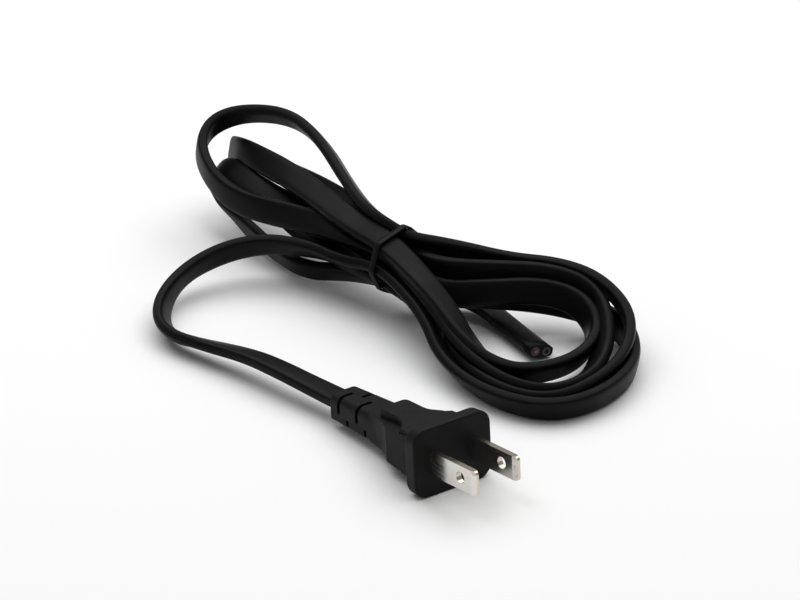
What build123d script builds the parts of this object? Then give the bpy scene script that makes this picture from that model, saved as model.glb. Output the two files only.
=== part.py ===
from build123d import *
import math
import os

os.makedirs("parts", exist_ok=True)

# Millimetres. The plug is drawn with its face in the plane x = 0 and its blades along +X,
# then pitched nose up, because it lies on the drafted underside of its flange.
PITCH = 4.2

# Face flange
FLANGE_WIDTH = 23.8
FLANGE_HEIGHT = 18.2
FLANGE_THICK = 4.2
FLANGE_CORNER = 4.0
FLANGE_EDGE = 0.6
FLOOR = -FLANGE_HEIGHT / 2 * math.cos(math.radians(PITCH))

# Core behind the flange: its sides flare in to the strain relief, its top and bottom fall in two slopes
CORE_FRONT_X = -2.0
CORE_HALF_WIDTH = 9.0
CORE_FRONT_HALF_HEIGHT = 6.0
CORE_SHOULDER_X = -15.6
CORE_SHOULDER_HALF = 8.8
CORE_SHOULDER_HALF_HEIGHT = 4.2
CORE_WAIST_X = -27.0
CORE_WAIST_HALF = 5.3
CORE_END_HALF_HEIGHT = 3.7
CORE_EDGE = 0.4

# Grip plate above and below the core
GRIP_HALF_HEIGHT = 6.1
GRIP_REAR_X = -24.4
GRIP_STRAIGHT_X = -17.2
GRIP_HALF_WIDTH = 4.4
GRIP_FLARE_X = -10.6
GRIP_FLARE_HALF = 8.3
GRIP_CORNER = 1.6
GRIP_EDGE = 0.6

# Strain relief
RELIEF_FRONT_X = -22.0
RELIEF_END_X = -44.5
RELIEF_FRONT = (11.2, 7.6)
RELIEF_END = (9.2, 7.0)
RELIEF_CORNER = 2.3
RELIEF_FOOT_CORNER = 0.9
RELIEF_END_EDGE = 0.5
SLOT_WIDTH = 1.2
SLOT_DEPTH = 1.2
SLOT_STATIONS = (-40.6, -36.8, -32.6)
SLOT_FRONT_STATION = -29.0
SLOT_LAND = 0.2
SLOT_UPPER_FOOT = -0.8
SLOT_LOWER_HEAD = -1.4

# Blades
BLADE_SPACING = 12.7
BLADE_WIDTH = 6.35
BLADE_THICK = 1.52
BLADE_FLAT = 15.8
BLADE_TIP = 17.6
BLADE_TIP_THICK = 0.7
BLADE_TIP_CORNER = 1.0
BLADE_ROOT_X = -8.0
HOLE_X = 11.7
HOLE_RADIUS = 1.59
NECK_WIDTH = 2.6
NECK_LAP = 0.75
NECK_REACH = 1.75
CRIMP_FRONT_X = -8.8
CRIMP_REAR_X = -14.0
CRIMP_RADIUS = 1.5

# Inner carrier and conductors
CARRIER_FRONT_X = -2.4
CARRIER_REAR_X = -7.0
CARRIER_WIDTH = 16.6
CARRIER_HEIGHT = 9.0
CARRIER_CORNER = 1.2
CORE_WIRE_RADIUS = 0.6
CORE_WIRE_SPACING = 1.9
WIRE_IN_CRIMP = 1.6
WIRE_BEND_X = -21.5
WIRE_BEND_OUT = 2.2
WIRE_JOIN_X = -28.5

# Cord: 7.2 wide and 3.6 thick; its solids are round tubes as thick as the cord
CORD_THICK = 3.6
CORD_ENTRY_X = -36.0

# Tie and the bundle it holds
TIE_CENTRE = (-87.3, 49.6, 14.8)
BUNDLE_TURN = 7.0
BUNDLE_WIDTH = 18.8
BUNDLE_HEIGHT = 18.0
BUNDLE_CORNER = 6.0
BUNDLE_LENGTH = 11.0
TIE_WIDTH = 1.4
TIE_THICK = 0.6

# Cord route between the crossings of the tie: x and y from the plug face, heights from the floor
LEAD = [
    (-58, -1.5, 6), (-68, -3, 6.5), (-79.5, -4, 6), (-94, -7.5, 5), (-107.5, -10.5, 4), (-122, -4.5, 4),
    (-131, 9.5, 6.5), (-129.5, 23, 10), (-123, 33.5, 12), (-111, 40, 11.5), (-99.5, 41, 11.5),
]
RIGHT_1 = [
    (-61.5, 38.5, 9.5), (-47.5, 34.5, 5), (-29, 33, 3.5), (-12, 38.5, 3.5), (-8.5, 53.5, 3), (-17, 71, 3),
    (-30.5, 83.5, 3), (-42.5, 85.5, 4.5), (-52.5, 77, 6.5), (-61.5, 64, 8.5), (-74, 55, 8.5),
]
LEFT_1 = [
    (-105, 53.5, 12), (-119, 56, 11), (-132, 59, 9.5), (-141, 57.5, 8.5), (-142, 50.5, 8),
    (-134, 46.5, 8), (-121.5, 45.5, 9), (-110, 47, 9),
]
RIGHT_2 = [
    (-69, 48.5, 5), (-48, 40.5, 4), (-29.5, 38, 3.5), (-17, 44, 4), (-15.5, 57.5, 5), (-21.5, 71.5, 6.5),
    (-30, 81.5, 10), (-43.5, 84.5, 12), (-57, 80.5, 12.5), (-67, 70.5, 14), (-75.5, 57.5, 20),
]
LEFT_2 = [
    (-97, 49.5, 26), (-114.5, 54, 26.5), (-135.5, 60, 30.5), (-151, 61, 32), (-163.5, 55, 31),
    (-168, 47, 27.5), (-164.5, 39.5, 23), (-154, 36, 18), (-141.5, 37, 16), (-125.5, 42, 16.5),
    (-103.5, 44.5, 19.5),
]
RIGHT_3 = [
    (-63.5, 43.5, 15), (-45, 41, 10), (-31, 41.5, 6), (-21, 47, 4), (-19.5, 58, 4.5), (-25, 69.5, 6.5),
    (-34.5, 78, 10), (-45, 81, 12.5), (-54.5, 75, 14.5), (-63, 64.5, 15), (-71.5, 51.5, 14.5),
]
LEFT_3 = [
    (-107, 53, 21), (-134.5, 58.5, 18), (-157.5, 61.5, 14.5), (-167, 63, 13.5), (-174, 61.5, 14),
    (-172.5, 55.5, 18), (-164.5, 52.5, 20.5), (-158.5, 51.5, 21.5), (-140, 50, 23), (-122.5, 47.5, 23.5),
    (-100, 44, 23.5),
]
RIGHT_4 = [
    (-61, 46, 18), (-47.5, 45, 11.5), (-37, 45, 6), (-27.5, 48, 4.5), (-27.5, 60.5, 5), (-35, 73, 7),
    (-44, 76, 11.5), (-53, 70, 13), (-60, 58.5, 13), (-69, 48.5, 12),
]
LEFT_4 = [
    (-106, 50, 15.5), (-124, 48.5, 15), (-141.5, 46.5, 16), (-153.5, 46.5, 16.5), (-160.5, 47.5, 16.5),
    (-164.5, 46, 11.5), (-160, 44, 7), (-151, 42.5, 7), (-144, 41.5, 6.5), (-132.5, 40, 5.5),
    (-116, 39.5, 3.5), (-105.5, 47.5, 4),
]
TAIL = [
    (-79, 57, 3.5), (-68, 63, 2.5), (-54.5, 62.5, 2), (-41.5, 61.5, 2.5),
]

# Where each stretch ends in the bundle, across and up from its middle
STRETCHES = [
    (LEAD, -6.2, -0.2),
    (RIGHT_1, 5.6, -4.2),
    (LEFT_1, -4.8, -4.8),
    (RIGHT_2, 4.5, 5.4),
    (LEFT_2, -1.1, 2.6),
    (RIGHT_3, 6.4, 0.2),
    (LEFT_3, -3.0, 6.2),
    (RIGHT_4, -0.4, -1.4),
    (LEFT_4, 0.2, -6.5),
]


def fillet_radii(points):
    """Radius at each inner point: nearly the largest the shorter of its two runs allows."""
    radii = []
    for before, here, after in zip(points, points[1:], points[2:]):
        first = here - before
        second = after - here
        turn = math.radians(first.get_angle(second))
        radii.append(0.45 * min(first.length, second.length) / math.tan(turn / 2))
    return radii


def tube(points, radius, name=""):
    """Round bar along straight runs joined by tangent arcs."""
    points = [Vector(*p) for p in points]
    radii = fillet_radii(points)
    path = FilletPolyline(*points, radius=radii)
    bar = sweep(Plane(origin=path @ 0, z_dir=path % 0) * Circle(radius), path=path)
    if name:
        ratio = bar.volume / (math.pi * radius**2 * path.length)
        length, bend = round(path.length, 1), round(min(radii), 1)
        print(name, "length", length, "least radius", bend, "volume ratio", round(ratio, 4))
    return bar


def from_floor(points):
    return [(x, y, z + FLOOR) for x, y, z in points]


def relief_section(wide, high, inset=0.0):
    """Section of the strain relief: round upper corners, tighter lower ones."""
    section = Rectangle(wide - 2 * inset, high - 2 * inset)
    upper = section.vertices().group_by(Axis.Y)[-1]
    section = fillet(upper, RELIEF_CORNER - inset)
    lower = section.vertices().group_by(Axis.Y)[0]
    return fillet(lower, max(RELIEF_FOOT_CORNER - inset, 0.3))


def plug_outline():
    """Body of the plug as one moulding, before the inner pieces are taken out of it."""
    flange_face = Plane.YZ * RectangleRounded(FLANGE_WIDTH, FLANGE_HEIGHT, FLANGE_CORNER)
    flange = extrude(flange_face, -FLANGE_THICK, taper=PITCH)
    flange = fillet(flange.edges().group_by(Axis.X)[-1] + flange.edges().group_by(Axis.X)[0], FLANGE_EDGE)

    shoulder = (CORE_SHOULDER_X, CORE_SHOULDER_HALF)
    waist = (CORE_WAIST_X, CORE_WAIST_HALF)
    core_side = Line((CORE_FRONT_X, CORE_HALF_WIDTH), shoulder)
    core_side += TangentArc(waist, shoulder, tangent=(1, 0))
    core_side += Polyline(waist, (CORE_WAIST_X, 0), (CORE_FRONT_X, 0), (CORE_FRONT_X, CORE_HALF_WIDTH))
    core_plan = make_face(core_side)
    core_plan = core_plan + mirror(core_plan, Plane.XZ)
    upper_line = [
        (CORE_FRONT_X, CORE_FRONT_HALF_HEIGHT), (CORE_SHOULDER_X, CORE_SHOULDER_HALF_HEIGHT),
        (CORE_WAIST_X, CORE_END_HALF_HEIGHT),
    ]
    lower_line = [(x, -z) for x, z in reversed(upper_line)]
    core_height = Polygon(*upper_line, *lower_line, align=None)
    core = extrude(core_plan, FLANGE_HEIGHT, both=True)
    core &= extrude(Plane.XZ * core_height, FLANGE_WIDTH, both=True)
    core = fillet(core.edges().filter_by(Axis.Z).group_by(Axis.X)[1], CORE_EDGE)

    flare = (GRIP_FLARE_X, GRIP_FLARE_HALF)
    straight = (GRIP_STRAIGHT_X, GRIP_HALF_WIDTH)
    grip_side = Line((CORE_FRONT_X, CORE_HALF_WIDTH), flare)
    grip_side += TangentArc(straight, flare, tangent=(1, 0))
    grip_side += Polyline(
        straight, (GRIP_REAR_X, GRIP_HALF_WIDTH), (GRIP_REAR_X, 0), (CORE_FRONT_X, 0),
        (CORE_FRONT_X, CORE_HALF_WIDTH),
    )
    grip_plan = make_face(grip_side)
    grip_plan = grip_plan + mirror(grip_plan, Plane.XZ)
    grip = extrude(grip_plan, GRIP_HALF_HEIGHT, both=True)
    grip = fillet(grip.edges().filter_by(Axis.Z).group_by(Axis.X)[0], GRIP_CORNER)
    grip = fillet(grip.edges().group_by(Axis.Z)[-1] + grip.edges().group_by(Axis.Z)[0], GRIP_EDGE)

    relief_faces = [
        Plane.YZ.offset(RELIEF_FRONT_X) * relief_section(*RELIEF_FRONT),
        Plane.YZ.offset(RELIEF_END_X) * relief_section(*RELIEF_END),
    ]
    relief = loft(relief_faces)
    relief = fillet(relief.edges().group_by(Axis.X)[0], RELIEF_END_EDGE)
    return flange + core + grip + relief


def relief_slots():
    """Slots cut half round the strain relief, each round one corner, on alternate corners."""
    cuts = []
    for index, x in enumerate(SLOT_STATIONS + (SLOT_FRONT_STATION,)):
        reach = (x - RELIEF_FRONT_X) / (RELIEF_END_X - RELIEF_FRONT_X)
        wide = RELIEF_FRONT[0] + reach * (RELIEF_END[0] - RELIEF_FRONT[0])
        high = RELIEF_FRONT[1] + reach * (RELIEF_END[1] - RELIEF_FRONT[1])
        rim = Rectangle(2 * wide, 2 * high) - relief_section(wide, high, SLOT_DEPTH)
        ring = extrude(Plane.YZ.offset(x) * rim, SLOT_WIDTH / 2, both=True)
        side = 1 if index % 2 else -1
        block = Box(2 * SLOT_WIDTH, wide, 2 * high)
        aside = (wide + SLOT_LAND) / 2
        if x != SLOT_FRONT_STATION:
            cuts.append(ring & Pos(x, side * aside, SLOT_UPPER_FOOT + high) * block)
        cuts.append(ring & Pos(x, -side * aside, SLOT_LOWER_HEAD - high) * block)
    return cuts


def blade(side):
    """Plated blade with its hole, bevelled tip and crimped tail."""
    half = BLADE_THICK / 2
    outline = Polygon(
        (BLADE_ROOT_X, half), (BLADE_FLAT, half), (BLADE_TIP, BLADE_TIP_THICK / 2),
        (BLADE_TIP, -BLADE_TIP_THICK / 2), (BLADE_FLAT, -half), (BLADE_ROOT_X, -half), align=None,
    )
    flat = extrude(outline, BLADE_WIDTH / 2, both=True)
    tip_corners = flat.edges().filter_by(Axis.Y).group_by(Axis.X)[-1]
    flat = fillet(tip_corners, BLADE_TIP_CORNER)
    flat -= Pos(HOLE_X, 0, 0) * Rot(90, 0, 0) * Cylinder(HOLE_RADIUS, 4 * BLADE_THICK)
    neck_middle = BLADE_ROOT_X + (NECK_LAP - NECK_REACH) / 2
    neck = Pos(neck_middle, 0, 0) * Box(NECK_LAP + NECK_REACH, BLADE_THICK, NECK_WIDTH)
    barrel_middle = (CRIMP_FRONT_X + CRIMP_REAR_X) / 2
    barrel = Pos(barrel_middle, 0, 0) * Rot(0, 90, 0) * Cylinder(CRIMP_RADIUS, CRIMP_FRONT_X - CRIMP_REAR_X)
    return Pos(0, side * BLADE_SPACING / 2, 0) * (flat + neck + barrel)


def core_wire(side):
    """Stripped conductor from the crimp to the cord inside the strain relief."""
    y_crimp = side * BLADE_SPACING / 2
    y_cord = side * CORE_WIRE_SPACING / 2
    points = [
        (BLADE_ROOT_X - WIRE_IN_CRIMP, y_crimp, 0), (CRIMP_REAR_X - CRIMP_RADIUS, y_crimp, 0),
        (WIRE_BEND_X, y_cord + side * WIRE_BEND_OUT, 0), (WIRE_JOIN_X, y_cord, 0), (CORD_ENTRY_X, y_cord, 0),
    ]
    return tube(points, CORE_WIRE_RADIUS)


# Plug pieces in the plug's own frame
left_wire = core_wire(1)
right_wire = core_wire(-1)
left_blade = blade(1) - left_wire
right_blade = blade(-1) - right_wire
carrier = Pos((CARRIER_FRONT_X + CARRIER_REAR_X) / 2, 0, 0) * Box(
    CARRIER_FRONT_X - CARRIER_REAR_X, CARRIER_WIDTH, CARRIER_HEIGHT
)
carrier = fillet(carrier.edges().filter_by(Axis.X), CARRIER_CORNER)
carrier = carrier - left_blade - right_blade

# The bundle at the tie, and the tie round it
turn = math.radians(BUNDLE_TURN)
bundle_plane = Plane(
    origin=(TIE_CENTRE[0], TIE_CENTRE[1], TIE_CENTRE[2] + FLOOR),
    x_dir=(-math.sin(turn), math.cos(turn), 0),
    z_dir=(math.cos(turn), math.sin(turn), 0),
)
bundle_face = bundle_plane * RectangleRounded(BUNDLE_WIDTH, BUNDLE_HEIGHT, BUNDLE_CORNER)
bundle = extrude(bundle_face, BUNDLE_LENGTH / 2, both=True)
band_face = bundle_plane * RectangleRounded(
    BUNDLE_WIDTH + 2 * TIE_THICK, BUNDLE_HEIGHT + 2 * TIE_THICK, BUNDLE_CORNER + TIE_THICK
)
tie = extrude(band_face - bundle_face, TIE_WIDTH / 2, both=True)


# Hank: the bundle and the loops that leave it and come back
crossings = [tuple(bundle_plane.from_local_coords((across, up, 0))) for stretch, across, up in STRETCHES]
cord_hank = bundle
for index in range(1, len(STRETCHES)):
    points = [crossings[index - 1]] + from_floor(STRETCHES[index][0]) + [crossings[index]]
    cord_hank = cord_hank + tube(points, CORD_THICK / 2, "loop " + str(index))

# Lead from inside the strain relief to the bundle, and tail from the bundle to the cut end
lie = Rot(0, -PITCH, 0)
entry = (lie * Pos(CORD_ENTRY_X, 0, 0)).position
leave = (lie * Pos(RELIEF_END_X - 2, 0, 0)).position
cord_lead = tube([entry, leave] + from_floor(LEAD) + [crossings[0]], CORD_THICK / 2, "lead") - bundle
cord_tail = tube([crossings[-1]] + from_floor(TAIL), CORD_THICK / 2, "tail") - bundle

# Plug laid as it rests, with the inner pieces taken out of the moulding
body = plug_outline()
for cut in relief_slots():
    body = body - cut
for inner in (left_blade, right_blade, carrier, left_wire, right_wire):
    body = body - inner
plug_body = lie * body - cord_lead

nodes = {
    "plug_body": plug_body,
    "blade_carrier": lie * carrier,
    "left_blade": lie * left_blade,
    "right_blade": lie * right_blade,
    "left_wire": lie * left_wire,
    "right_wire": lie * right_wire,
    "cord_lead": cord_lead,
    "cord_hank": cord_hank,
    "cord_tail": cord_tail,
    "tie": tie,
}
for name, shape in nodes.items():
    export_step(shape, "parts/" + name + ".step")
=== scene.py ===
import math

import bmesh
import bpy
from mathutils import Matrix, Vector


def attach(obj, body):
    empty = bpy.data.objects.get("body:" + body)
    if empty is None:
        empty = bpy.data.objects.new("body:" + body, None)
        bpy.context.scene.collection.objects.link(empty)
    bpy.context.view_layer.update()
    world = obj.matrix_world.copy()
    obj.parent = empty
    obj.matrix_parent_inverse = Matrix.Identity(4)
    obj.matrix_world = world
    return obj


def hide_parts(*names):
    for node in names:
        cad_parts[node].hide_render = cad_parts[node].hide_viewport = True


MM = 0.001

# Plug: it lies nose up on its flange, with its face centre at the origin
PITCH = math.radians(4.2)
FLANGE_HEIGHT = 18.2
FLOOR = -FLANGE_HEIGHT / 2 * math.cos(PITCH)
RELIEF_END = -44.5
CORD_ENTRY = -36.0
LEAD_STRAIGHT = 2

# Flat cord: its section is a superellipse, between a rounded rectangle and an oval
CORD_WIDTH = 7.2
CORD_THICK = 3.1
SECTION_POWER = 3.8
SECTION_POINTS = 32
LINE_STEPS = 8
# Share of the last level direction that carries on from point to point
LEVEL_KEPT = 0.5

# Two stranded cores at the cut end, each in a cover
CORE_SPACING = 3.4
COVER_RADIUS = 1.2
COVER_BORE = 0.62
COVER_PROUD = 0.16
STRAND_RADIUS = 0.12
COVER_STEPS = 32
STRAND_LENGTH = 2.0
STRAND_SIDES = 10
NEAR_CORE_PROUD = 0.3
FAR_CORE_PROUD = -0.5

# Bundle that the tie holds, and the band round it
TIE_CENTRE = Vector((-87.3, 49.6, 14.8 + FLOOR))
BUNDLE_TURN = math.radians(7.0)
BUNDLE_REACH = 13.0
TIE_WIDTH = 1.9
TIE_THICK = 0.6
TIE_EDGE = 0.15
TIE_CLEARANCE = 0.2
TIE_STEPS = 128

# Cord route between the crossings of the tie: the part's points, moved by up to 5 mm to lie as in the photo.
# x and y are from the plug face, then the height over the floor and the lean of the broad side in degrees
LEAD = [
    (-58, -1.5, 6, 6), (-68, -3, 6.5, 8), (-79.5, -4, 6, 12), (-94, -7.5, 4.5, 22), (-107.5, -11, 3.5, 44),
    (-121, -4, 4, 72), (-130.5, 9.5, 6.5, 110), (-129.5, 23, 10, 112), (-123, 33.5, 12, 121),
    (-111, 40, 12.5, 135), (-99.5, 41, 13, 150),
]
RIGHT_1 = [
    (-61.5, 40, 10.8, -45), (-47.5, 34.5, 5, -45), (-29, 32.8, 3.6, -57), (-12, 38.5, 3.9, -62),
    (-8.9, 53.4, 3.9, -70), (-15.7, 71.1, 3.9, -80), (-30.5, 83, 3.9, -76), (-42.5, 85.5, 5, -65),
    (-52.5, 77, 8.2, -62), (-61.5, 64, 10.6, -55), (-74, 55, 8.5, -45),
]
LEFT_1 = [
    (-105, 53.5, 12, -30), (-119, 56, 11.5, -50), (-132, 58.5, 11, -70), (-140.5, 57, 11, -84),
    (-141.5, 51.5, 11, 80), (-134, 48.5, 11, 50), (-121.5, 46.5, 11, 22), (-110, 46.8, 9.5, 16),
]
RIGHT_2 = [
    (-69, 48, 5.6, -44), (-48.3, 39.6, 4.8, -38), (-29.5, 37.4, 3.8, -38), (-16.5, 43.6, 3.8, -27),
    (-14.8, 57.4, 5, -54), (-20.8, 72.5, 6.3, -67), (-29.6, 82.3, 10.5, -98), (-43.5, 84.5, 15.1, -126),
    (-57, 80.5, 15.2, -105), (-67, 70.5, 15.6, -100), (-75.5, 57.5, 20.5, -110),
]
LEFT_2 = [
    (-97.5, 48.8, 25, 44), (-114.5, 54.1, 26, 56), (-135.5, 60.5, 30.5, 52), (-151, 61.3, 32.6, 51),
    (-165, 55, 30.7, 48), (-169.9, 47.3, 27.3, 63), (-165.6, 40, 23.2, 83), (-153.5, 36.3, 18.6, 95),
    (-141.5, 37, 16, 85), (-125.5, 42, 16.5, 65), (-103.5, 44.5, 19.5, 35),
]
RIGHT_3 = [
    (-63.5, 42.8, 14, -40), (-46.2, 39, 7.9, -46), (-31.2, 40.4, 4.6, -40), (-20.3, 46.3, 3.8, -30),
    (-18.8, 58.1, 4.5, -42), (-25.4, 68.9, 6.5, -44), (-35, 77.2, 10, -62), (-45, 81, 13, -75),
    (-54.5, 75, 15.6, -82), (-63, 64.5, 16.2, -88), (-71.5, 51.5, 17.5, -95),
]
LEFT_3 = [
    (-107, 53, 20.5, -25), (-134.5, 58.5, 17.3, -48), (-157.5, 61.5, 13.8, -68), (-166, 62.8, 12.8, -80),
    (-172.5, 61, 13.4, -92), (-171.5, 55.5, 17.5, -96), (-164, 52.5, 20.3, -104), (-158.5, 51.5, 21.5, 66),
    (-140, 50, 23, 40), (-122.5, 47.5, 23.5, 25), (-100, 44, 23.5, 18),
]
RIGHT_4 = [
    (-61.8, 43.6, 15.8, -14), (-48.6, 41.1, 10.7, -30), (-38.2, 41.5, 6.8, -50), (-28.8, 45.6, 5.2, -64),
    (-26.6, 61.2, 5.2, -64), (-33.9, 74.4, 7.3, -70), (-44, 76, 12, -75), (-53, 70, 13.6, -85),
    (-60, 58.5, 13.6, -88), (-69, 48.5, 12.4, -60),
]
LEFT_4 = [
    (-106, 50, 15.5, -20), (-124, 48.5, 15, -28), (-141.5, 46.5, 16, -32), (-153.5, 46.5, 16.5, -34),
    (-164, 47, 17.2, -30), (-165, 46, 12, -28), (-159, 44.6, 7.4, -40), (-151, 42.5, 7, -56),
    (-144, 41.5, 6.5, -68), (-132.5, 40, 5.5, -66), (-116, 39.5, 4.5, -57), (-105.5, 47.5, 5.8, -46),
]
TAIL = [(-80, 60.5, 4.5, -15), (-71.5, 66.5, 3, -12), (-57, 64, 2.7, -12), (-41.5, 61.4, 2.7, -12)]

# Where each stretch ends in the bundle, across and up from its middle, and its lean there
STRETCHES = [
    (LEAD, -4.6, -0.4, -35),
    (RIGHT_1, 5.6, -4.2, -20),
    (LEFT_1, -3.6, -4.6, -30),
    (RIGHT_2, 4.5, 5.4, 35),
    (LEFT_2, -1.1, 2.6, 5),
    (RIGHT_3, 6.4, 0.2, 45),
    (LEFT_3, -3.0, 6.2, 10),
    (RIGHT_4, -0.4, -1.4, -35),
    (LEFT_4, 0.2, -6.2, -42),
]

# Stage, in metres
FLOOR_SIZE = 20
PAPER_TONE = 0.97
SURROUND_STRENGTH = 0.3
SOFTBOX_SIZE = (1.7, 1.5)
SOFTBOX_ENERGY = 14.0
SOFTBOX_PLACE = (-0.3, 0.22, 0.95)
SOFTBOX_AIM = (0.22, -0.18, -0.95)
CAMERA_LENS = 180.0
CAMERA_SENSOR = 36.0
CAMERA_PLACE = (0.6775, -0.5344, 0.4492)
CAMERA_AIM = (-0.718, 0.549, -0.427)

# Bundle axes
ALONG = Vector((math.cos(BUNDLE_TURN), math.sin(BUNDLE_TURN), 0))
ACROSS = Vector((-math.sin(BUNDLE_TURN), math.cos(BUNDLE_TURN), 0))
UP = Vector((0, 0, 1))


# Cord


def plug_point(x):
    """Point on the plug's own axis, which is pitched nose up."""
    return Vector((x * math.cos(PITCH), 0, x * math.sin(PITCH)))


def cord_route():
    """Control points and leans of the whole cord, in metres and radians."""
    points = [plug_point(CORD_ENTRY), plug_point(RELIEF_END - LEAD_STRAIGHT)]
    leans = [0, 0]
    for stretch, across, up, lean_in_tie in STRETCHES:
        for x, y, z, lean in stretch:
            points.append(Vector((x, y, z + FLOOR)))
            leans.append(lean)
        points.append(TIE_CENTRE + ACROSS * across + UP * up)
        leans.append(lean_in_tie)
    for x, y, z, lean in TAIL:
        points.append(Vector((x, y, z + FLOOR)))
        leans.append(lean)
    for i in range(1, len(leans)):
        leans[i] += 180 * round((leans[i - 1] - leans[i]) / 180)
    return [p * MM for p in points], [math.radians(a) for a in leans]


def follow(points):
    """Points along the smooth line that a row of control points guides."""
    curve = bpy.data.curves.new("line", "CURVE")
    curve.dimensions = "3D"
    curve.resolution_u = LINE_STEPS
    spline = curve.splines.new("NURBS")
    spline.points.add(len(points) - 1)
    for place, point in zip(spline.points, points):
        place.co = (*point, 1)
    spline.order_u = 3
    spline.use_endpoint_u = True
    holder = bpy.data.objects.new("line", curve)
    bpy.context.scene.collection.objects.link(holder)
    mesh = bpy.data.meshes.new_from_object(holder.evaluated_get(bpy.context.evaluated_depsgraph_get()))
    line = [v.co.copy() for v in mesh.vertices]
    bpy.data.objects.remove(holder)
    bpy.data.curves.remove(curve)
    bpy.data.meshes.remove(mesh)
    return line


def cord_section():
    """Outline of the cord's section: broad direction first, thin direction second."""
    outline = []
    for i in range(SECTION_POINTS):
        angle = 2 * math.pi * i / SECTION_POINTS
        broad, thin = math.cos(angle), math.sin(angle)
        u = math.copysign(abs(broad) ** (2 / SECTION_POWER), broad) * CORD_WIDTH / 2
        v = math.copysign(abs(thin) ** (2 / SECTION_POWER), thin) * CORD_THICK / 2
        outline.append((u * MM, v * MM))
    return outline


def cord_axes(line, leans):
    """Tangent, broad and thin directions at each point of the line."""
    axes = []
    level = ACROSS
    for i, lean in enumerate(leans):
        tangent = (line[min(i + 1, len(line) - 1)] - line[max(i - 1, 0)]).normalized()
        side = UP.cross(tangent)
        if side.dot(level) < 0:
            side = -side
        # A steep fold has hardly a level direction of its own, so some of the one before it is kept
        side += level * LEVEL_KEPT
        level = (side - tangent * side.dot(tangent)).normalized()
        upward = tangent.cross(level)
        broad = level * math.cos(lean) + upward * math.sin(lean)
        axes.append((tangent, broad, tangent.cross(broad)))
    return axes


def add_piece(name, verts, faces):
    mesh = bpy.data.meshes.new(name)
    mesh.from_pydata(verts, [], faces)
    mesh.validate()
    mesh.polygons.foreach_set("use_smooth", [True] * len(mesh.polygons))
    piece = bpy.data.objects.new(name, mesh)
    bpy.context.scene.collection.objects.link(piece)
    return piece


def turn_outwards(piece):
    tidy = bmesh.new()
    tidy.from_mesh(piece.data)
    bmesh.ops.recalc_face_normals(tidy, faces=tidy.faces)
    tidy.to_mesh(piece.data)
    tidy.free()


def flat_cord(line, axes):
    """Sweep of the cord's section along the line, with closed ends and a map round and along it."""
    section = cord_section()
    count = len(section)
    verts, faces, way = [], [], []
    for here, (tangent, broad, thin) in zip(line, axes):
        verts += [here + broad * u + thin * v for u, v in section]
    round_it = [0.0]
    for k in range(count):
        (u0, v0), (u1, v1) = section[k], section[(k + 1) % count]
        round_it.append(round_it[-1] + math.hypot(u1 - u0, v1 - v0))
    run = 0.0
    for i in range(len(line) - 1):
        step = (line[i + 1] - line[i]).length
        for k in range(count):
            a, b = i * count + k, i * count + (k + 1) % count
            faces.append((a, b, b + count, a + count))
            way += [(round_it[k], run), (round_it[k + 1], run)]
            way += [(round_it[k + 1], run + step), (round_it[k], run + step)]
        run += step
    faces.append(tuple(range(count))[::-1])
    faces.append(tuple(range(len(verts) - count, len(verts))))
    way += section[::-1] + section
    cord = add_piece("cord", verts, faces)
    layer = cord.data.uv_layers.new(name="way")
    layer.data.foreach_set("uv", [value for pair in way for value in pair])
    for cap in cord.data.polygons[-2:]:
        cap.use_smooth = False
    return cord


# Tie


def band_centres(line, axes):
    """Centres of the round edges of each strand where it passes under the band, across and up."""
    edge = CORD_THICK / 2 - TIE_CLEARANCE
    centres = []
    for here, (tangent, broad, thin) in zip(line, axes):
        place = here / MM - TIE_CENTRE
        if abs(place.dot(ALONG)) > TIE_WIDTH or place.length > BUNDLE_REACH:
            continue
        for u in (-1, 1):
            corner = place + broad * (u * (CORD_WIDTH / 2 - edge))
            centres.append((corner.dot(ACROSS), corner.dot(UP)))
    return centres


def tie_band(line, axes):
    """Band close round the strands of the bundle."""
    centres = band_centres(line, axes)
    inner = CORD_THICK / 2
    outer = inner + TIE_THICK
    half = TIE_WIDTH / 2
    profile = [
        (inner, -half + TIE_EDGE), (inner + TIE_EDGE, -half),
        (outer - TIE_EDGE, -half), (outer, -half + TIE_EDGE),
        (outer, half - TIE_EDGE), (outer - TIE_EDGE, half),
        (inner + TIE_EDGE, half), (inner, half - TIE_EDGE),
    ]
    turns = TIE_STEPS
    verts, faces = [], []
    for i in range(turns):
        angle = 2 * math.pi * i / turns
        u, v = math.cos(angle), math.sin(angle)
        cu, cv = max(centres, key=lambda c: c[0] * u + c[1] * v)
        for reach, shift in profile:
            corner = TIE_CENTRE + ACROSS * (cu + u * reach) + UP * (cv + v * reach) + ALONG * shift
            verts.append(corner * MM)
    count = len(profile)
    for i in range(turns):
        after = (i + 1) % turns
        for k in range(count):
            beside = (k + 1) % count
            faces.append((i * count + k, i * count + beside, after * count + beside, after * count + k))
    band = add_piece("tie_band", verts, faces)
    turn_outwards(band)
    return band


# Cut end


def core_places(line, axes):
    """Middle of each core on the cut face, the near one first."""
    tangent, broad, thin = axes[-1]
    near = broad if broad.y < 0 else -broad
    return [line[-1] + near * (side * CORE_SPACING / 2 * MM) for side in (1, -1)]


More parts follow.
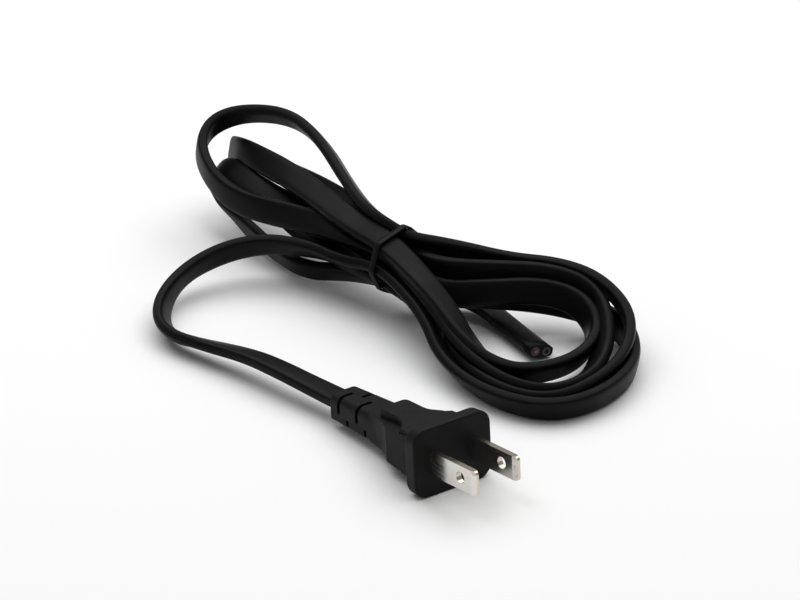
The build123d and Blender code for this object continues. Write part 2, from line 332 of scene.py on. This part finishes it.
def core_covers(line, axes):
    """Ring round each core, a little proud of the cut face."""
    tangent, broad, thin = axes[-1]
    rise = COVER_PROUD * MM
    bore, rim = COVER_BORE * MM, COVER_RADIUS * MM
    profile = [
        (rim, -rise), (rim, rise / 2), (rim - rise / 2, rise),
        (bore + rise / 2, rise), (bore, rise / 2), (bore, -rise),
    ]
    turns, count = COVER_STEPS, len(profile)
    verts, faces = [], []
    for middle in core_places(line, axes):
        start = len(verts)
        for i in range(turns):
            angle = 2 * math.pi * i / turns
            out = broad * math.cos(angle) + thin * math.sin(angle)
            verts += [middle + out * radius + tangent * height for radius, height in profile]
        for i in range(turns):
            after = (i + 1) % turns
            for k in range(count):
                beside = (k + 1) % count
                ring = (i * count + k, i * count + beside, after * count + beside, after * count + k)
                faces.append(tuple(start + corner for corner in ring))
    covers = add_piece("core_covers", verts, faces)
    turn_outwards(covers)
    return covers


def strand_tree(material):
    """Tree that sets a round bundle of nineteen strands on every point of a piece."""
    tree = bpy.data.node_groups.new("strand_bundle", "GeometryNodeTree")
    face = tree.interface
    face.new_socket("Geometry", in_out="INPUT", socket_type="NodeSocketGeometry")
    face.new_socket("Strand Radius", in_out="INPUT", socket_type="NodeSocketFloat")
    face.new_socket("Strand Length", in_out="INPUT", socket_type="NodeSocketFloat")
    face.new_socket("Direction", in_out="INPUT", socket_type="NodeSocketVector")
    face.new_socket("Geometry", in_out="OUTPUT", socket_type="NodeSocketGeometry")
    given = tree.nodes.new("NodeGroupInput")
    result = tree.nodes.new("NodeGroupOutput")
    join = tree.nodes.new("GeometryNodeJoinGeometry")
    middle = tree.nodes.new("GeometryNodeMeshLine")
    middle.inputs["Count"].default_value = 1
    tree.links.new(middle.outputs["Mesh"], join.inputs["Geometry"])
    for ring in (1, 2):
        reach = tree.nodes.new("ShaderNodeMath")
        reach.operation = "MULTIPLY"
        reach.inputs[1].default_value = 2 * ring
        tree.links.new(given.outputs["Strand Radius"], reach.inputs[0])
        circle = tree.nodes.new("GeometryNodeMeshCircle")
        circle.inputs["Vertices"].default_value = 6 * ring
        tree.links.new(reach.outputs["Value"], circle.inputs["Radius"])
        tree.links.new(circle.outputs["Mesh"], join.inputs["Geometry"])
    strand = tree.nodes.new("GeometryNodeMeshCylinder")
    strand.inputs["Vertices"].default_value = STRAND_SIDES
    tree.links.new(given.outputs["Strand Radius"], strand.inputs["Radius"])
    tree.links.new(given.outputs["Strand Length"], strand.inputs["Depth"])
    bundle = tree.nodes.new("GeometryNodeInstanceOnPoints")
    tree.links.new(join.outputs["Geometry"], bundle.inputs["Points"])
    tree.links.new(strand.outputs["Mesh"], bundle.inputs["Instance"])
    align = tree.nodes.new("FunctionNodeAlignRotationToVector")
    align.axis = "Z"
    tree.links.new(given.outputs["Direction"], align.inputs["Vector"])
    place = tree.nodes.new("GeometryNodeInstanceOnPoints")
    tree.links.new(given.outputs["Geometry"], place.inputs["Points"])
    tree.links.new(bundle.outputs["Instances"], place.inputs["Instance"])
    tree.links.new(align.outputs["Rotation"], place.inputs["Rotation"])
    realize = tree.nodes.new("GeometryNodeRealizeInstances")
    tree.links.new(place.outputs["Instances"], realize.inputs["Geometry"])
    finish = tree.nodes.new("GeometryNodeSetMaterial")
    finish.inputs["Material"].default_value = material
    tree.links.new(realize.outputs["Geometry"], finish.inputs["Geometry"])
    tree.links.new(finish.outputs["Geometry"], result.inputs["Geometry"])
    return tree


def cut_cores(line, axes, material):
    """Copper strands of both cores at the cut end; the far core's end inside its cover."""
    tangent = axes[-1][0]
    near, far = core_places(line, axes)
    near += tangent * ((NEAR_CORE_PROUD - STRAND_LENGTH / 2) * MM)
    far += tangent * ((FAR_CORE_PROUD - STRAND_LENGTH / 2) * MM)
    cores = add_piece("cut_cores", [near, far], [])
    modifier = cores.modifiers.new("strands", "NODES")
    modifier.node_group = strand_tree(material)
    given = {"Strand Radius": STRAND_RADIUS * MM, "Strand Length": STRAND_LENGTH * MM, "Direction": tangent}
    for socket in modifier.node_group.interface.items_tree:
        if socket.in_out == "INPUT" and socket.name in given:
            modifier[socket.identifier] = given[socket.name]
    mesh = bpy.data.meshes.new_from_object(cores.evaluated_get(bpy.context.evaluated_depsgraph_get()))
    cores.modifiers.clear()
    cores.data = mesh
    return cores


# Finishes


def add_node(tree, kind, inputs=None, **settings):
    """New node with its settings and its unlinked inputs."""
    node = tree.nodes.new(kind)
    for name, value in settings.items():
        setattr(node, name, value)
    for name, value in (inputs or {}).items():
        node.inputs[name].default_value = value
    return node


def effect_group(name, inputs, outputs):
    """Empty node group with named inputs, their starting values, and named outputs."""
    group = bpy.data.node_groups.new(name, "ShaderNodeTree")
    kinds = {float: "NodeSocketFloat", tuple: "NodeSocketVector"}
    for label, value in inputs.items():
        socket = group.interface.new_socket(label, in_out="INPUT", socket_type=kinds[type(value)])
        socket.default_value = value
    for label, kind in outputs.items():
        group.interface.new_socket(label, in_out="OUTPUT", socket_type=kinds[kind])
    return group, add_node(group, "NodeGroupInput"), add_node(group, "NodeGroupOutput")


def scaled_noise(tree, vector, size, detail):
    """Noise whose features are as large as a size, in metres."""
    share = add_node(tree, "ShaderNodeMath", operation="DIVIDE")
    share.inputs[0].default_value = 1.0
    tree.links.new(size, share.inputs[1])
    stretch = add_node(tree, "ShaderNodeVectorMath", operation="SCALE")
    tree.links.new(vector, stretch.inputs[0])
    tree.links.new(share.outputs["Value"], stretch.inputs["Scale"])
    noise = add_node(tree, "ShaderNodeTexNoise", {"Scale": 1.0, "Detail": detail, "Roughness": 0.55})
    tree.links.new(stretch.outputs["Vector"], noise.inputs["Vector"])
    return noise.outputs["Fac"]


def moulded_grain():
    """Fine grain of a moulded skin, with broad patches that are duller and finer specks that catch dust."""
    group, given, result = effect_group(
        "moulded_grain",
        {"Vector": (0.0, 0.0, 0.0), "Grain": 0.0003, "Depth": 0.00001, "Patch": 0.008},
        {"Normal": tuple, "Patches": float, "Specks": float},
    )
    grain = scaled_noise(group, given.outputs["Vector"], given.outputs["Grain"], 2.0)
    bump = add_node(group, "ShaderNodeBump", {"Strength": 1.0})
    group.links.new(given.outputs["Depth"], bump.inputs["Distance"])
    group.links.new(grain, bump.inputs["Height"])
    group.links.new(bump.outputs["Normal"], result.inputs["Normal"])
    patches = scaled_noise(group, given.outputs["Vector"], given.outputs["Patch"], 3.0)
    group.links.new(patches, result.inputs["Patches"])
    specks = add_node(group, "ShaderNodeMapRange", {"From Min": 0.66, "From Max": 0.8})
    group.links.new(grain, specks.inputs["Value"])
    dusty = add_node(group, "ShaderNodeMath", operation="MULTIPLY")
    group.links.new(specks.outputs["Result"], dusty.inputs[0])
    group.links.new(patches, dusty.inputs[1])
    group.links.new(dusty.outputs["Value"], result.inputs["Specks"])
    return group


def drawn_lines():
    """Fine lines that a die leaves along a drawn surface; the first coordinate runs along them."""
    group, given, result = effect_group(
        "drawn_lines",
        {"Vector": (0.0, 0.0, 0.0), "Width": 0.0004, "Stretch": 0.02, "Depth": 0.00001},
        {"Normal": tuple, "Lines": float},
    )
    squeeze = add_node(group, "ShaderNodeSeparateXYZ")
    group.links.new(given.outputs["Vector"], squeeze.inputs["Vector"])
    along = add_node(group, "ShaderNodeMath", operation="MULTIPLY")
    group.links.new(squeeze.outputs["X"], along.inputs[0])
    group.links.new(given.outputs["Stretch"], along.inputs[1])
    rebuilt = add_node(group, "ShaderNodeCombineXYZ")
    group.links.new(along.outputs["Value"], rebuilt.inputs["X"])
    group.links.new(squeeze.outputs["Y"], rebuilt.inputs["Y"])
    group.links.new(squeeze.outputs["Z"], rebuilt.inputs["Z"])
    lines = scaled_noise(group, rebuilt.outputs["Vector"], given.outputs["Width"], 2.0)
    bump = add_node(group, "ShaderNodeBump", {"Strength": 1.0})
    group.links.new(given.outputs["Depth"], bump.inputs["Distance"])
    group.links.new(lines, bump.inputs["Height"])
    group.links.new(bump.outputs["Normal"], result.inputs["Normal"])
    group.links.new(lines, result.inputs["Lines"])
    return group


def new_material(name, roughness, metallic=0.0, specular=0.5):
    material = bpy.data.materials.new(name)
    material.use_nodes = True
    shader = material.node_tree.nodes["Principled BSDF"]
    shader.inputs["Roughness"].default_value = roughness
    shader.inputs["Metallic"].default_value = metallic
    shader.inputs["Specular IOR Level"].default_value = specular
    return material, material.node_tree, shader


def place_group(tree, group, vector, **values):
    """A shared effect in a material, with this material's values."""
    node = add_node(tree, "ShaderNodeGroup", node_tree=group)
    for name, value in values.items():
        node.inputs[name.capitalize()].default_value = value
    tree.links.new(vector, node.inputs["Vector"])
    return node


def tint(tree, mask, dark, light, target):
    """Colour between two tones by a mask."""
    ramp = add_node(tree, "ShaderNodeMix", data_type="RGBA")
    ramp.inputs[6].default_value = (*dark, 1)
    ramp.inputs[7].default_value = (*light, 1)
    tree.links.new(mask, ramp.inputs[0])
    if target:
        tree.links.new(ramp.outputs[2], target)
    return ramp


def spread(tree, mask, low, high, target):
    """Value between two limits by a mask that runs about its middle."""
    change = add_node(
        tree, "ShaderNodeMapRange", {"From Min": 0.3, "From Max": 0.7, "To Min": low, "To Max": high}
    )
    tree.links.new(mask, change.inputs["Value"])
    tree.links.new(change.outputs["Result"], target)


def cord_jacket(grain, lines):
    """Extruded black jacket: die lines along it, a fine grain and a duller bloom in patches."""
    material, tree, shader = new_material("cord_jacket", 0.42, specular=0.09)
    place = add_node(tree, "ShaderNodeTexCoord")
    swap = add_node(tree, "ShaderNodeMapping")
    swap.inputs["Rotation"].default_value = (0, 0, -math.pi / 2)
    tree.links.new(place.outputs["UV"], swap.inputs["Vector"])
    die = place_group(tree, lines, swap.outputs["Vector"], width=0.0005, stretch=0.02, depth=0.00001)
    skin = place_group(tree, grain, place.outputs["Object"], grain=0.0004, depth=0.00002, patch=0.012)
    tree.links.new(skin.outputs["Normal"], shader.inputs["Normal"])
    streak = tint(tree, die.outputs["Lines"], (0.0022, 0.0022, 0.0023), (0.0042, 0.0042, 0.0044), None)
    dust = add_node(tree, "ShaderNodeMix", data_type="RGBA")
    dust.inputs[7].default_value = (0.018, 0.018, 0.018, 1)
    tree.links.new(skin.outputs["Specks"], dust.inputs[0])
    tree.links.new(streak.outputs[2], dust.inputs[6])
    tree.links.new(dust.outputs[2], shader.inputs["Base Color"])
    spread(tree, skin.outputs["Patches"], 0.36, 0.5, shader.inputs["Roughness"])
    return material


def plug_plastic(grain):
    """Moulded black plug: matte spark-eroded grain, duller patches and a little dust in it."""
    material, tree, shader = new_material("plug_plastic", 0.5, specular=0.11)
    place = add_node(tree, "ShaderNodeTexCoord")
    skin = place_group(tree, grain, place.outputs["Object"], grain=0.00035, depth=0.00004, patch=0.006)
    tree.links.new(skin.outputs["Normal"], shader.inputs["Normal"])
    bloom = tint(tree, skin.outputs["Patches"], (0.0042, 0.0042, 0.0044), (0.0075, 0.0075, 0.0078), None)
    dust = add_node(tree, "ShaderNodeMix", data_type="RGBA")
    dust.inputs[7].default_value = (0.03, 0.03, 0.029, 1)
    tree.links.new(skin.outputs["Specks"], dust.inputs[0])
    tree.links.new(bloom.outputs[2], dust.inputs[6])
    tree.links.new(dust.outputs[2], shader.inputs["Base Color"])
    spread(tree, skin.outputs["Patches"], 0.45, 0.6, shader.inputs["Roughness"])
    return material


def plated_blade(grain, lines):
    """Nickel plate drawn lengthways, with bare brass on the sheared edges and a few dull spots."""
    material, tree, shader = new_material("plated_blade", 0.2, metallic=1.0)
    place = add_node(tree, "ShaderNodeTexCoord")
    drawn = place_group(tree, lines, place.outputs["Object"], width=0.0002, stretch=0.01, depth=0.000004)
    spots = place_group(tree, grain, place.outputs["Object"], grain=0.0004, depth=0.000002, patch=0.0025)
    tree.links.new(drawn.outputs["Normal"], shader.inputs["Normal"])
    plate = tint(tree, drawn.outputs["Lines"], (0.66, 0.64, 0.6), (0.78, 0.76, 0.73), None)
    dull = add_node(tree, "ShaderNodeMapRange", {"From Min": 0.6, "From Max": 0.72})
    tree.links.new(spots.outputs["Patches"], dull.inputs["Value"])
    worn = add_node(tree, "ShaderNodeMix", data_type="RGBA")
    worn.inputs[7].default_value = (0.46, 0.38, 0.27, 1)
    tree.links.new(dull.outputs["Result"], worn.inputs[0])
    tree.links.new(plate.outputs[2], worn.inputs[6])
    facing = add_node(tree, "ShaderNodeNewGeometry")
    split = add_node(tree, "ShaderNodeSeparateXYZ")
    tree.links.new(facing.outputs["True Normal"], split.inputs["Vector"])
    flat = add_node(tree, "ShaderNodeMath", operation="ABSOLUTE")
    tree.links.new(split.outputs["Y"], flat.inputs[0])
    sheared = add_node(tree, "ShaderNodeMapRange", {"From Min": 0.75, "From Max": 0.5})
    tree.links.new(flat.outputs["Value"], sheared.inputs["Value"])
    edge = add_node(tree, "ShaderNodeMix", data_type="RGBA")
    edge.inputs[7].default_value = (0.62, 0.56, 0.47, 1)
    tree.links.new(sheared.outputs["Result"], edge.inputs[0])
    tree.links.new(worn.outputs[2], edge.inputs[6])
    tree.links.new(edge.outputs[2], shader.inputs["Base Color"])
    spread(tree, drawn.outputs["Lines"], 0.16, 0.26, shader.inputs["Roughness"])
    return material


def plain_finish(name, grain, dark, light, rough, metallic=0.0, size=0.0004, depth=0.00001):
    """Finish of a small or hidden piece: grain, two tones and two levels of gloss."""
    material, tree, shader = new_material(name, rough[0], metallic=metallic, specular=0.12)
    place = add_node(tree, "ShaderNodeTexCoord")
    skin = place_group(tree, grain, place.outputs["Object"], grain=size, depth=depth, patch=8 * size)
    tree.links.new(skin.outputs["Normal"], shader.inputs["Normal"])
    tint(tree, skin.outputs["Patches"], dark, light, shader.inputs["Base Color"])
    spread(tree, skin.outputs["Patches"], *rough, shader.inputs["Roughness"])
    return material


# Pieces
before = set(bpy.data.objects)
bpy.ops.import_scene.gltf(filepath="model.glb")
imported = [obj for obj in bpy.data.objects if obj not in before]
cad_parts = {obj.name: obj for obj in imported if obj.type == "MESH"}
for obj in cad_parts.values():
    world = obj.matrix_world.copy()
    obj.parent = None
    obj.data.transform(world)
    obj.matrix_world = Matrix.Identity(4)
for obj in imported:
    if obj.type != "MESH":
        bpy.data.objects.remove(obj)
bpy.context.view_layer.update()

grain, lines = moulded_grain(), drawn_lines()
copper = plain_finish("copper", grain, (0.16, 0.08, 0.06), (0.26, 0.14, 0.11), (0.35, 0.5), 1.0, 0.0001)
finishes = {
    "plug_body": plug_plastic(grain),
    "blade_carrier": plain_finish(
        "carrier_plastic", grain, (0.5, 0.48, 0.43), (0.58, 0.56, 0.51), (0.45, 0.6)
    ),
    "left_blade": plated_blade(grain, lines),
    "left_wire": copper,
    "right_wire": copper,
}
finishes["right_blade"] = finishes["left_blade"]
for name, finish in finishes.items():
    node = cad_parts[name]
    node.data.materials.clear()
    node.data.materials.append(finish)

points, leans = cord_route()
line = follow(points)
axes = cord_axes(line, [p.x for p in follow([Vector((a, 0, 0)) for a in leans])])
cord = flat_cord(line, axes)
cord.data.materials.append(cord_jacket(grain, lines))
tie = tie_band(line, axes)
tie.data.materials.append(
    plain_finish("tie_band", grain, (0.002, 0.002, 0.002), (0.004, 0.004, 0.004), (0.4, 0.5))
)
covers = core_covers(line, axes)
covers.data.materials.append(
    plain_finish("core_cover", grain, (0.05, 0.05, 0.051), (0.085, 0.085, 0.085), (0.5, 0.6))
)
cores = cut_cores(line, axes, copper)

for piece, slot in ((cord, "cord_jacket"), (tie, "tie_band"), (covers, "cord_jacket"), (cores, "copper")):
    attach(piece, "root")
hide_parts("cord_lead", "cord_hank", "cord_tail")
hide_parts("tie")

# Stage: white paper, one large softbox overhead and a little behind, and a weak surround
bpy.ops.mesh.primitive_plane_add(size=FLOOR_SIZE, location=(0, 0, FLOOR * MM))
floor = bpy.context.object
floor.name = "floor"
paper, _, paper_shader = new_material("floor_paper", 1.0, specular=0.0)
paper_shader.inputs["Base Color"].default_value = (PAPER_TONE, PAPER_TONE, PAPER_TONE, 1)
floor.data.materials.append(paper)

world = bpy.data.worlds.new("studio")
world.use_nodes = True
world.node_tree.nodes["Background"].inputs["Color"].default_value = (1, 1, 1, 1)
world.node_tree.nodes["Background"].inputs["Strength"].default_value = SURROUND_STRENGTH
bpy.context.scene.world = world

lamp = bpy.data.lights.new("softbox", "AREA")
lamp.shape = "RECTANGLE"
lamp.size, lamp.size_y = SOFTBOX_SIZE
lamp.energy = SOFTBOX_ENERGY
softbox = bpy.data.objects.new("softbox", lamp)
softbox.location = SOFTBOX_PLACE
softbox.rotation_euler = Vector(SOFTBOX_AIM).to_track_quat("-Z", "Y").to_euler()
bpy.context.scene.collection.objects.link(softbox)

camera_data = bpy.data.cameras.new("camera")
camera_data.lens = CAMERA_LENS
camera_data.sensor_width = CAMERA_SENSOR
camera = bpy.data.objects.new("camera", camera_data)
camera.location = CAMERA_PLACE
camera.rotation_euler = Vector(CAMERA_AIM).to_track_quat("-Z", "Y").to_euler()
bpy.context.scene.collection.objects.link(camera)
bpy.context.scene.camera = camera
bpy.context.scene.view_settings.view_transform = "Standard"
